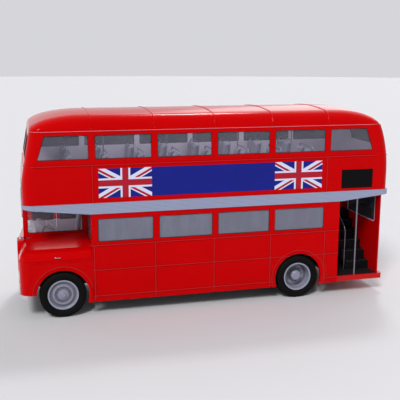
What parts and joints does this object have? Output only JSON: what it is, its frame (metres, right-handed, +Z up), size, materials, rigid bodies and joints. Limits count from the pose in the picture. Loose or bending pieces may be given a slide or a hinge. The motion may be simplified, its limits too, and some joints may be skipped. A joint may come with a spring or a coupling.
{
  "type": "double decker bus",
  "caption": "Half-cab double decker bus with an open rear platform, ribbed roof, band between the decks, hinged bonnet, cab door and emergency exit, steered front wheels.",
  "frame": {"origin": "on the ground, under the middle of the bus's bounding box", "axes": "+X forward, +Y to the nearside (left), +Z up"},
  "size_m": [8.45, 2.36, 4.369],
  "materials": {
    "red_paint": "gloss",
    "band_paint": "gloss",
    "floor_covering": "matte",
    "stair_black": "satin",
    "grey_steel": "satin",
    "chrome_trim": "polished",
    "bumper_grey": "satin",
    "lamp_glass": "gloss",
    "lamp_red": "gloss",
    "blind_black": "gloss",
    "advert_blue": "satin",
    "window_glass": "gloss",
    "seat_cloth": "matte",
    "black_plastic": "satin",
    "chassis_black": "satin",
    "engine_iron": "matte",
    "wheel_paint": "satin",
    "tyre_rubber": "matte"
  },
  "bodies": {
    "body": {"roof": "red_paint", "upper_nearside_wall": "red_paint", "upper_offside_wall": "red_paint", "upper_front_wall": "red_paint", "upper_rear_wall": "red_paint", "lower_nearside_wall": "red_paint", "lower_offside_wall": "red_paint", "lower_rear_wall": "red_paint", "front_bulkhead": "red_paint", "platform_bulkhead": "red_paint", "cab_shell": "red_paint", "front_wings": "red_paint", "upper_deck_floor": "floor_covering", "lower_deck_floor": "floor_covering", "rear_platform": "red_paint", "cab_floor": "floor_covering", "deck_band": "band_paint", "staircase": "stair_black", "platform_pole": "grey_steel", "radiator_cowl": "red_paint", "radiator_slats": "chrome_trim", "front_bumper": "bumper_grey", "head_lamps": "lamp_glass", "tail_lamps": "lamp_red", "blind_panels": "blind_black", "advert_panels": "advert_blue", "upper_glass": "window_glass", "lower_glass": "window_glass", "cab_glass": "window_glass", "upper_seats": "seat_cloth", "lower_seats": "seat_cloth", "seat_frames": "grey_steel", "steering_wheel": "black_plastic", "chassis_frame": "chassis_black", "engine": "engine_iron", "gearbox_and_shaft": "engine_iron", "fuel_tank": "chassis_black", "front_axle": "chassis_black", "rear_axle": "chassis_black"},
    "bonnet": {"bonnet": "red_paint"},
    "cab_door": {"cab_door": "red_paint", "cab_door_glass": "window_glass"},
    "emergency_exit": {"emergency_sash": "red_paint", "emergency_glass": "window_glass"},
    "knuckle_left": {"steering_knuckle_left": "chassis_black"},
    "knuckle_right": {"steering_knuckle_right": "chassis_black"},
    "front_wheel_left": {"front_wheel_left": "wheel_paint", "front_tyre_left": "tyre_rubber"},
    "front_wheel_right": {"front_wheel_right": "wheel_paint", "front_tyre_right": "tyre_rubber"},
    "rear_wheels_left": {"rear_wheel_left": "wheel_paint", "rear_tyre_left": "tyre_rubber"},
    "rear_wheels_right": {"rear_wheel_right": "wheel_paint", "rear_tyre_right": "tyre_rubber"}
  },
  "joints": [
    {"name": "bonnet_hinge", "type": "hinge", "parent": "body", "child": "bonnet", "pos_m": [3.4, 0.108, 1.612], "axis": [1, 0, 0], "range_deg": [0, 55]},
    {"name": "cab_door_hinge", "type": "hinge", "parent": "body", "child": "cab_door", "pos_m": [3.297, -1.173, 1.76], "axis": [0, 0, 1], "range_deg": [0, 80]},
    {"name": "emergency_hinge", "type": "hinge", "parent": "body", "child": "emergency_exit", "pos_m": [-4.03614, 0, 3.8652], "axis": [0, 1, 0], "range_deg": [0, 70]},
    {"name": "kingpin_left", "type": "hinge", "parent": "body", "child": "knuckle_left", "pos_m": [3.32, 0.93, 0.5], "axis": [0, 0, 1], "range_deg": [-38, 38]},
    {"name": "kingpin_right", "type": "hinge", "parent": "body", "child": "knuckle_right", "pos_m": [3.32, -0.93, 0.5], "axis": [0, 0, 1], "range_deg": [-38, 38]},
    {"name": "front_spin_left", "type": "hinge", "parent": "knuckle_left", "child": "front_wheel_left", "pos_m": [3.32, 1.015, 0.5], "axis": [0, 1, 0], "continuous": true},
    {"name": "front_spin_right", "type": "hinge", "parent": "knuckle_right", "child": "front_wheel_right", "pos_m": [3.32, -1.015, 0.5], "axis": [0, 1, 0], "continuous": true},
    {"name": "rear_spin_left", "type": "hinge", "parent": "body", "child": "rear_wheels_left", "pos_m": [-2.015, 0.87, 0.5], "axis": [0, 1, 0], "continuous": true},
    {"name": "rear_spin_right", "type": "hinge", "parent": "body", "child": "rear_wheels_right", "pos_m": [-2.015, -0.87, 0.5], "axis": [0, 1, 0], "continuous": true}
  ],
  "couplings": [
    {"joint": "kingpin_right", "follows": "kingpin_left", "ratio": 1}
  ]
}
